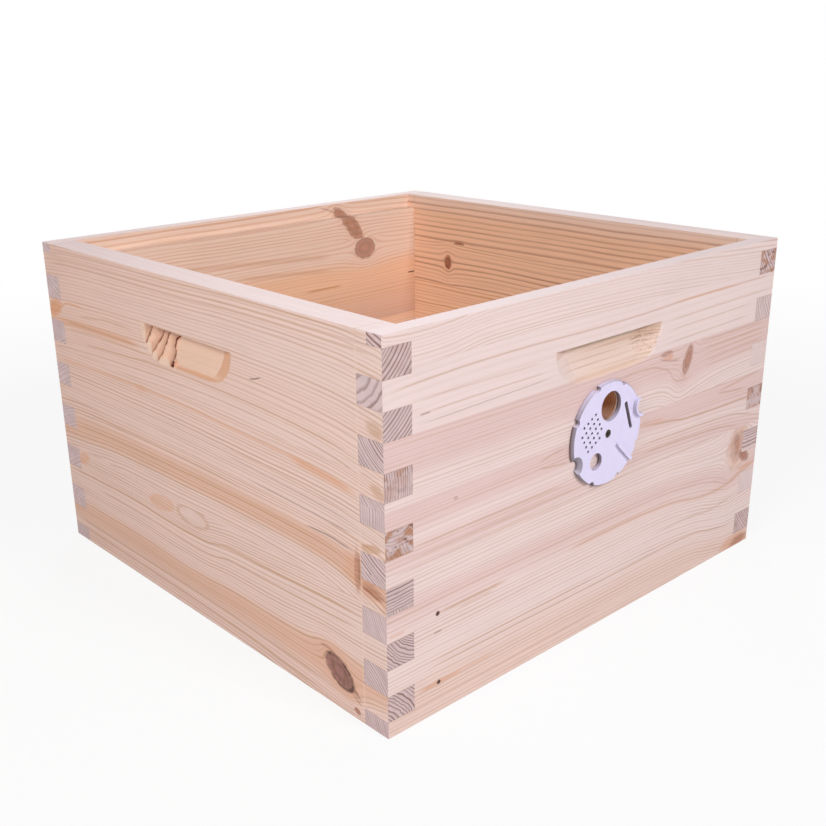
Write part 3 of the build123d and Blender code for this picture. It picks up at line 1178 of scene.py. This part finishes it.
class HIVE_OT_boards(bpy.types.Operator):
    """Finish the boards of the four walls"""

    bl_idname = "hive.boards"
    bl_label = "Boards"
    bl_options = {"REGISTER", "UNDO"}

    def execute(self, context):
        for node in FIGURES:
            dress(node, Pine(node, context.scene.hive_pine).material())
        return {"FINISHED"}


# Hand-hold floors, in millimetres

FLOOR_DEPTH = 12.5
RAMP_AT_TOP = 26.0
RAMP_AT_FOOT = 16.0
LIP_HEIGHT = 2.6
LIP_DEPTH = 2.2
EDGE_GAP = 0.05
BACKING = 1.0


def wall_point(wall, along, deep, height):
    """A place on a wall as a point of the part, in metres."""
    if wall == "front":
        return Vector((LEFT_FACE + along, FRONT_FACE + deep, height)) / MM
    if wall == "rear":
        return Vector((LEFT_FACE + along, REAR_FACE - deep, height)) / MM
    if wall == "left":
        return Vector((LEFT_FACE + deep, REAR_FACE - along, height)) / MM
    return Vector((RIGHT_FACE - deep, REAR_FACE - along, height)) / MM


def hold_half_width(height):
    """Half the width of a hand-hold at a height."""
    drop = max(HOLD_LOW + HOLD_CORNER - height, 0.0)
    return HOLD_HALF_WIDTH - HOLD_CORNER + math.sqrt(max(HOLD_CORNER**2 - drop**2, 0.0))


def pocket_depth(along, height):
    """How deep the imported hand-hold is at a place on the wall."""
    run = abs(along - WALL_MIDDLE) - (HOLD_HALF_WIDTH - HOLD_CORNER)
    drop = HOLD_LOW + HOLD_CORNER - height
    if run > 0 and drop > 0:
        inset = HOLD_CORNER - math.hypot(run, drop)
    else:
        inset = min(height - HOLD_LOW, HOLD_CORNER - run)
    into_cove = min(max(HOLD_COVE - inset, 0.0), HOLD_COVE)
    return HOLD_DEPTH - HOLD_COVE + math.sqrt(HOLD_COVE**2 - into_cove**2)


def floor_depth(along, height):
    """How deep the floor is: deepest under the top edge, with a lip along its foot and a ramp at each end."""
    climb = height - HOLD_LOW
    slope = (FLOOR_DEPTH - LIP_DEPTH) * (climb - LIP_HEIGHT) / (HOLD_HEIGHT - LIP_HEIGHT)
    middle = min(LIP_DEPTH * climb / LIP_HEIGHT, LIP_DEPTH + slope)
    ramp = RAMP_AT_FOOT + (RAMP_AT_TOP - RAMP_AT_FOOT) * climb / HOLD_HEIGHT
    from_edge = hold_half_width(height) - abs(along - WALL_MIDDLE)
    return middle * min(from_edge / ramp, 1.0)


# Torn wood in the left hand-hold and splinters in the front one, in millimetres


@dataclass
class Tear:
    """A split between two flakes: heights with places along the wall, half width and darkness."""

    route: tuple
    half_width: float
    shade: float

    def place(self, height):
        """Where the split lies at a height, in millimetres along the wall."""
        for (low, first), (high, second) in zip(self.route, self.route[1:]):
            if height <= high:
                break
        return first + (second - first) * (height - low) / (high - low)


TEARS = (
    Tear(((235, 180), (247, 186.4), (252, 189.4), (258.5, 191.8), (268, 194.5)), 0.7, 0.6),
    Tear(((235, 194), (243.4, 198.7), (250.3, 201.6), (257.6, 204.7), (268, 207.5)), 0.7, 0.75),
    Tear(((235, 205), (241, 209), (247.4, 211.4), (256.2, 213.3), (268, 216)), 0.8, 0.85),
    Tear(
        (
            (235, 226.5), (241.6, 229.5), (245.8, 230), (252.2, 228.2), (257.1, 227.8), (261.4, 230.8),
            (268, 234)
        ),
        half_width=0.9,
        shade=1.0,
    ),
)

# A hole at the foot of the last split, its depth, and how far above its middle the wood is torn
HOLE = Spot(230.5, 238.0, 3.6, 3.4)
HOLE_DEPTH = 5.0
HOLE_REACH = 4.0

# Flakes: their height, how many half widths of a split they take to rise, their shape and the splits' depth
FLAKE_LIFT = 3.0
FLAKE_RISE = 7.0
FLAKE_ROUNDING = 0.7
SPLIT_DEPTH = 1.0

# Splinters: where they lie, their height, and the distance and lean of their rows
SPLINTERS = Spot(306.0, 252.0, 22.0, 10.0)
SPLINTER_LIFT = 6.0
SPLINTER_ROW = 3.6
SPLINTER_LEAN = 0.06


def reach(spot, along, height):
    """Distance from the middle of a level spot, 1 on its edge."""
    return math.hypot((along - spot.along) / spot.half_length, (height - spot.height) / spot.half_height)


def torn_end(height):
    """Where the torn wood stops at a height, in millimetres along the wall."""
    crack = TEARS[-1]
    hole_end = HOLE.along + HOLE.half_length * (height < HOLE.height + HOLE_REACH)
    return max(crack.place(height) + crack.half_width, hole_end)


def flakes(along, height):
    """How far torn flakes stand off the floor: high in their middle, with a split on either side."""
    if along > torn_end(height):
        return 0.0
    rough = noise.noise((along / 2.2, height / 4.0, 3.0))
    fine = noise.noise((along / 1.1, height / 1.8, 5.0))
    offset = min(abs(along + rough * 1.2 - tear.place(height)) / tear.half_width for tear in TEARS)
    sunk = SPLIT_DEPTH * max(1.0 - offset, 0.0) + HOLE_DEPTH * max(1.0 - reach(HOLE, along, height), 0.0)
    raised = FLAKE_LIFT * min(offset / FLAKE_RISE, 1.0) ** FLAKE_ROUNDING
    return raised + rough * 0.6 + fine * 0.4 - sunk


def splinters(along, height):
    """How far small splinters stand off the floor at its right end."""
    row = math.sin(2.0 * math.pi * (height - SPLINTER_LEAN * along) / SPLINTER_ROW)
    splinter = noise.noise((along / 1.4, height / 5.0, 8.0)) * max(row, 0.0)
    return SPLINTER_LIFT * splinter * max(1.0 - reach(SPLINTERS, along, height) ** 4, 0.0)


class TornPine(Pine):
    """Pine torn up by the cutter: rough flakes that darken towards the splits between them."""

    wood_roughness = 0.75
    fibre_patch = (2.5, 8, 3)
    fibre_depth = 0.0008

    # Splits: the shade beside them, their edges in half widths, and how they close towards the foot
    shade_width = 8.0
    split_edge = (0.3, 2.0)
    split_heights = (HOLD_LOW - 6.0, HOLD_TOP - 6.0)
    split_closing = (0.3, 1.0)

    # The shade under the top edge, and the depth of the pale line at the wall's face, clean wood with a
    # painted edge highlight
    shade_heights = (HOLD_TOP - 11.0, HOLD_TOP - 3.0)
    face_depth = (0.2, 0.8)

    def material(self):
        """The torn wood's finished material."""
        fibre = self.cloud(self.fibre_patch, 3.0, 0.7)
        colour = self.lay(self.colour("flake"), "resin", self.rise(fibre, -0.2, 0.3) * 0.5)
        closing = self.rise(self.height, *self.split_heights).between(*self.split_closing)
        for tear in TEARS:
            offset = self.along - self.route(tear.route, self.height) + fibre * 2.0
            near = self.rise(offset, -self.shade_width, 0.0) * offset.below(0.0)
            colour = self.lay(colour, "knot", near * (tear.shade * 0.5))
            split = self.fall(abs(offset), *(tear.half_width * share for share in self.split_edge))
            colour = self.lay(colour, "crack", split * closing * tear.shade)
        colour = self.lay(colour, "crack", self.fall(self.oval(HOLE, 2.5), 0.5, 1.1))
        under_edge = self.rise(self.height + fibre * 6.0, *self.shade_heights)
        colour = self.lay(colour, "brown", under_edge * 0.35)
        # Partly painted highlight: a pale line of clean wood along the outline at the wall's face
        colour = self.lay(colour, "milled", self.fall(self.deep, *self.face_depth) * 0.7)
        colour = self.shaded(colour, fibre * 0.5 + 1.0)
        rough = fibre * 0.1 + self.wood_roughness
        bump = self.bump(fibre, 0.5, self.fibre_depth)
        self.surface({"Base Color": colour, "Roughness": rough, "Normal": bump, "Specular IOR Level": 0.2})
        return self.owner


class HIVE_OT_hold_floors(bpy.types.Operator):
    """Add the sloped floors of the hand-holds, with the wood that the cutter tore up"""

    bl_idname = "hive.hold_floors"
    bl_label = "Hand-hold floors"
    bl_options = {"REGISTER", "UNDO"}

    lifts = {"left": flakes, "front": splinters}
    fine_cells = (170, 42)
    plain_cells = (62, 16)
    torn_margin = 1.0

    def execute(self, context):
        for wall in ("front", "rear", "left", "right"):
            boards = [node for node in wall_nodes(wall) if self.crossed(node)]
            lows = [node_box(node)[0][2] for node in boards]
            mesh = bpy.data.meshes.new(wall + "_hold_floor")
            cells = self.skin(wall)
            for face in cells.faces:
                face.material_index = self.finish_index(wall, lows, face.calc_center_median() * MM)
            cells.to_mesh(mesh)
            cells.free()
            for node in boards:
                mesh.materials.append(frame["nodes"][node].data.materials[0])
            if wall == "left":
                mesh.materials.append(TornPine(boards[0], context.scene.hive_pine).material())
            piece = bpy.data.objects.new(mesh.name, mesh)
            context.scene.collection.objects.link(piece)
            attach(piece, "box")
        return {"FINISHED"}

    @staticmethod
    def crossed(node):
        """Whether a board has a share of its wall's hand-hold."""
        low, high = (corner[2] for corner in node_box(node))
        return low < HOLD_TOP and high > HOLD_LOW

    def finish_index(self, wall, lows, middle):
        """Which finish a cell takes: that of the board it lies in, or the torn wood after the boards."""
        if wall == "left" and REAR_FACE - middle.y < torn_end(middle.z) + self.torn_margin:
            return len(lows)
        return min(sum(low > middle.z for low in lows), len(lows) - 1)

    def depth(self, wall, along, height):
        """How deep the finished floor is, never out of the wall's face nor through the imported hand-hold."""
        lift = self.lifts[wall](along, height) if wall in self.lifts else 0.0
        deepest = pocket_depth(along, height) - EDGE_GAP
        return min(max(floor_depth(along, height) - lift, EDGE_GAP), deepest)

    def skin(self, wall):
        """The floor outside, the same outline sunk into the wood behind it, and a rim that joins them."""
        columns, rows = self.fine_cells if wall in self.lifts else self.plain_cells
        cells = bmesh.new()
        outer, inner = [], []
        for row in range(rows + 1):
            height = HOLD_LOW + HOLD_HEIGHT * row / rows
            for column in range(columns + 1):
                along = WALL_MIDDLE + hold_half_width(height) * (2.0 * column / columns - 1.0)
                edge = column in (0, columns) or row == 0
                deep = EDGE_GAP if edge else self.depth(wall, along, height)
                outer.append(cells.verts.new(wall_point(wall, along, deep, height)))
                back = pocket_depth(along, height) + BACKING
                inner.append(cells.verts.new(wall_point(wall, along, back, height)))
        width = columns + 1
        for row in range(rows):
            for column in range(columns):
                corner = row * width + column
                ring = (corner, corner + 1, corner + width + 1, corner + width)
                cells.faces.new([outer[index] for index in ring])
                cells.faces.new([inner[index] for index in reversed(ring)])
        rim = list(range(width))
        rim += [row * width + columns for row in range(1, rows + 1)]
        rim += [rows * width + column for column in range(columns - 1, -1, -1)]
        rim += [row * width for row in range(rows - 1, 0, -1)]
        for index, following in zip(rim, rim[1:] + rim[:1]):
            cells.faces.new((outer[following], outer[index], inner[index], inner[following]))
        bmesh.ops.recalc_face_normals(cells, faces=cells.faces)
        return cells


# Disc and screw


class HIVE_OT_entrance_disc(bpy.types.Operator):
    """Finish the moulded entrance disc"""

    bl_idname = "hive.entrance_disc"
    bl_label = "Entrance disc"
    bl_options = {"REGISTER", "UNDO"}

    # Noise: clouds and the plastic's flow in millimetres, grains per millimetre, and their depth in metres
    cloud_size = 14
    flow_width, flow_height = 3, 22
    grain_count = 2.5
    grain_depth = 0.0002

    # Painted shade on the sides of the disc: where its face and its back end, how dark they are painted at
    # least, what the depth adds, and what painted light takes away where they face up
    face_edge = (FRONT_FACE - DISC_FACE - 0.4, FRONT_FACE - DISC_FACE)
    back_edge = (FRONT_FACE - 2.2, FRONT_FACE - 0.8)
    side_painted_shade = 0.5
    behind_face_painted_shade = 0.3
    back_edge_painted_shade = 0.25
    facing_up_painted_light = 0.85

    def execute(self, context):
        settings = context.scene.hive_disc
        tree = Tree(bpy.data.materials.new("moulded_plastic"))
        x, y, z = tree.object_place()
        cloud = tree.noise(tree.point(*(value / self.cloud_size for value in (x, y, z))), 2.0)
        grain = tree.noise(tree.point(*(value * self.grain_count for value in (x, y, z))), 2.0)
        flow = tree.point(x / self.flow_width, y / self.flow_width, z / self.flow_height)
        flow = tree.noise(flow, 2.0)
        dirt = tree.rise(flow + cloud * 0.6, 0.05, 0.6) * 0.3
        colour = tree.blend(tuple(settings.plastic), tuple(settings.grime), dirt)
        # Painted shade on the sides, darker towards the wall as a painted shadow line, and painted light
        # where the sides face up
        behind_face = tree.rise(y, *self.face_edge)
        back_edge = tree.rise(y, *self.back_edge)
        dark = behind_face * self.behind_face_painted_shade + back_edge * self.back_edge_painted_shade + self.side_painted_shade
        light = 1 - tree.rise(tree.normal(2), 0.25, 1.05) * self.facing_up_painted_light
        side = tree.fall(abs(tree.normal(1)), 0.72, 0.97)
        colour = tree.blend(colour, tuple(settings.edge), side * dark * light)
        colour = tree.shaded(colour, cloud * 0.05 + 1.0)
        rough = cloud * 0.12 + grain * 0.1 + settings.plastic_roughness
        bump = tree.bump(grain + flow * 0.6, 0.1, self.grain_depth)
        tree.surface({"Base Color": colour, "Roughness": rough, "Normal": bump})
        dress("entrance_disc", tree.owner)
        return {"FINISHED"}


class HIVE_OT_pivot_screw(bpy.types.Operator):
    """Finish the pivot screw"""

    bl_idname = "hive.pivot_screw"
    bl_label = "Pivot screw"
    bl_options = {"REGISTER", "UNDO"}

    def execute(self, context):
        settings = context.scene.hive_disc
        tree = Tree(bpy.data.materials.new("screw_steel"))
        x, y, z = tree.object_place()
        scratch = tree.noise(tree.point(x * 2, y * 2, z * 9), 3.0)
        patch = tree.rise(tree.noise(tree.point(x, y, z), 2.0), -0.1, 0.2)
        colour = tree.blend(tuple(settings.steel), tuple(settings.rust), patch)
        colour = tree.shaded(colour, scratch * 0.4 + 1.0)
        rough = scratch * 0.2 + patch * 0.2 + 0.35
        bump = tree.bump(scratch, 0.2, 0.0001)
        tree.surface({"Base Color": colour, "Roughness": rough, "Metallic": 0.85, "Normal": bump})
        dress("pivot_screw", tree.owner)
        return {"FINISHED"}


# Stage


def add_lamp(name, place, target, width, power):
    """A soft square lamp that points at a place on the box."""
    lamp = bpy.data.lights.new(name, "AREA")
    lamp.shape = "SQUARE"
    lamp.size = width
    lamp.energy = power
    holder = bpy.data.objects.new(name, lamp)
    bpy.context.scene.collection.objects.link(holder)
    holder.location = place
    holder.rotation_euler = (Vector(target) - Vector(place)).to_track_quat("-Z", "Y").to_euler()


def seen_directly(tree):
    """1 for rays from the camera and their mirror and glass paths, 0 for rays that light the object."""
    camera = tree.node("ShaderNodeLightPath", output="Is Camera Ray")
    mirror = tree.node("ShaderNodeLightPath", output="Is Glossy Ray")
    glass = tree.node("ShaderNodeLightPath", output="Is Transmission Ray")
    return (camera + mirror + glass).at_most(1.0)


class HIVE_OT_stage(bpy.types.Operator):
    """Set the floor, the surround, the lamps and the camera"""

    bl_idname = "hive.stage"
    bl_label = "Stage"
    bl_options = {"REGISTER", "UNDO"}

    # Each lamp's place and width in metres, and the place on the box that they point at
    lamps = {
        "key": ((0.2, -2.2, 1.58), 0.5),
        "side": ((-1.85, -0.5, 1.36), 0.9),
        "top": ((0.0, 0.1, 2.2), 1.4),
        "back": ((1.6, 1.9, 1.1), 1.2),
    }
    middle = (0.0, 0.0, 0.16)

    # How far the floor reaches, and where it turns from shaded to white, in metres
    floor_reach = 6.0
    shadow_reach = (0.6, 1.6)
    white = (1.0, 1.0, 1.0, 1.0)

    # Camera: its azimuth, elevation and roll in degrees, and how far its picture is shifted
    turns = (-41.8824, 19.9227, -0.8569)
    shift = (0.02248, 0.01940)
    sensor = 36.0

    def execute(self, context):
        scene = context.scene
        settings = scene.hive_stage
        self.add_floor(scene, settings)
        self.add_surround(scene, settings)
        for name, (place, width) in self.lamps.items():
            add_lamp(name + "_lamp", place, self.middle, width, getattr(settings, name + "_power"))
        self.add_camera(scene, settings)
        scene.view_settings.view_transform = "Standard"
        return {"FINISHED"}

    def add_floor(self, scene, settings):
        """A pale floor that keeps the box's shadow close by and turns white further out."""
        mesh = bpy.data.meshes.new("floor")
        cells = bmesh.new()
        bmesh.ops.create_grid(cells, x_segments=8, y_segments=8, size=self.floor_reach)
        cells.to_mesh(mesh)
        cells.free()
        floor = bpy.data.objects.new("floor", mesh)
        scene.collection.objects.link(floor)
        tree = Tree(bpy.data.materials.new("pale_floor"))
        x, y, z = tree.object_place()
        distance = (x * x + y * y).root() / MM
        white = tree.rise(distance, *self.shadow_reach).between(settings.floor_white, 1.0)
        diffuse = tree.node("ShaderNodeBsdfDiffuse", None, {"Color": (*settings.floor, 1.0)})
        glow = tree.node("ShaderNodeEmission", None, {"Color": self.white, "Strength": 1.0})
        seen = tree.node("ShaderNodeMixShader", None, {0: seen_directly(tree) * white, 1: diffuse, 2: glow})
        tree.node("ShaderNodeOutputMaterial", None, {"Surface": seen})
        mesh.materials.append(tree.owner)

    def add_surround(self, scene, settings):
        """An even light all round that looks white."""
        scene.world = bpy.data.worlds.new("surround")
        tree = Tree(scene.world)
        light = tree.node("ShaderNodeBackground", None, {"Color": self.white, "Strength": settings.surround})
        bright = tree.node("ShaderNodeBackground", None, {"Color": self.white, "Strength": 1.0})
        seen = tree.node("ShaderNodeMixShader", None, {0: seen_directly(tree), 1: light, 2: bright})
        tree.node("ShaderNodeOutputWorld", None, {"Surface": seen})

    def add_camera(self, scene, settings):
        """The camera stands where the photograph was taken from."""
        azimuth, elevation, roll = (math.radians(angle) for angle in self.turns)
        level = math.cos(elevation)
        back = Vector((math.sin(azimuth) * level, -math.cos(azimuth) * level, math.sin(elevation)))
        right = Vector((0.0, 0.0, 1.0)).cross(back).normalized()
        up = back.cross(right)
        tilted_right = right * math.cos(roll) + up * math.sin(roll)
        tilted_up = up * math.cos(roll) - right * math.sin(roll)
        lens = bpy.data.cameras.new("camera")
        lens.sensor_width = self.sensor
        lens.lens = settings.lens
        lens.shift_x, lens.shift_y = self.shift
        camera = bpy.data.objects.new("camera", lens)
        scene.collection.objects.link(camera)
        turn = Matrix((tilted_right, tilted_up, back)).transposed().to_4x4()
        camera.matrix_world = Matrix.Translation(settings.camera_place) @ turn
        scene.camera = camera


# Add-on

SETTINGS = {"hive_pine": HivePineSettings, "hive_disc": HiveDiscSettings, "hive_stage": HiveStageSettings}
OPERATORS = (
    HIVE_OT_boards,
    HIVE_OT_hold_floors,
    HIVE_OT_entrance_disc,
    HIVE_OT_pivot_screw,
    HIVE_OT_stage,
)


class HIVE_PT_panel(bpy.types.Panel):
    """The hive box's pieces and settings"""

    bl_idname = "HIVE_PT_panel"
    bl_label = "Hive box"
    bl_space_type = "VIEW_3D"
    bl_region_type = "UI"
    bl_category = "Hive box"

    def draw(self, context):
        for operator in OPERATORS:
            self.layout.operator(operator.bl_idname)
        for group in SETTINGS:
            settings = getattr(context.scene, group)
            for name in settings.bl_rna.properties.keys():
                if name not in ("rna_type", "name"):
                    self.layout.prop(settings, name)


CLASSES = (*SETTINGS.values(), *OPERATORS, HIVE_PT_panel)


def register():
    for cls in CLASSES:
        bpy.utils.register_class(cls)
    for name, group in SETTINGS.items():
        setattr(bpy.types.Scene, name, PointerProperty(type=group))


def unregister():
    for name in SETTINGS:
        delattr(bpy.types.Scene, name)
    for cls in reversed(CLASSES):
        bpy.utils.unregister_class(cls)


def main():
    register()
    bpy.ops.hive.boards()
    bpy.ops.hive.hold_floors()
    bpy.ops.hive.entrance_disc()
    bpy.ops.hive.pivot_screw()
    bpy.ops.hive.stage()


if __name__ == "__main__":
    main()
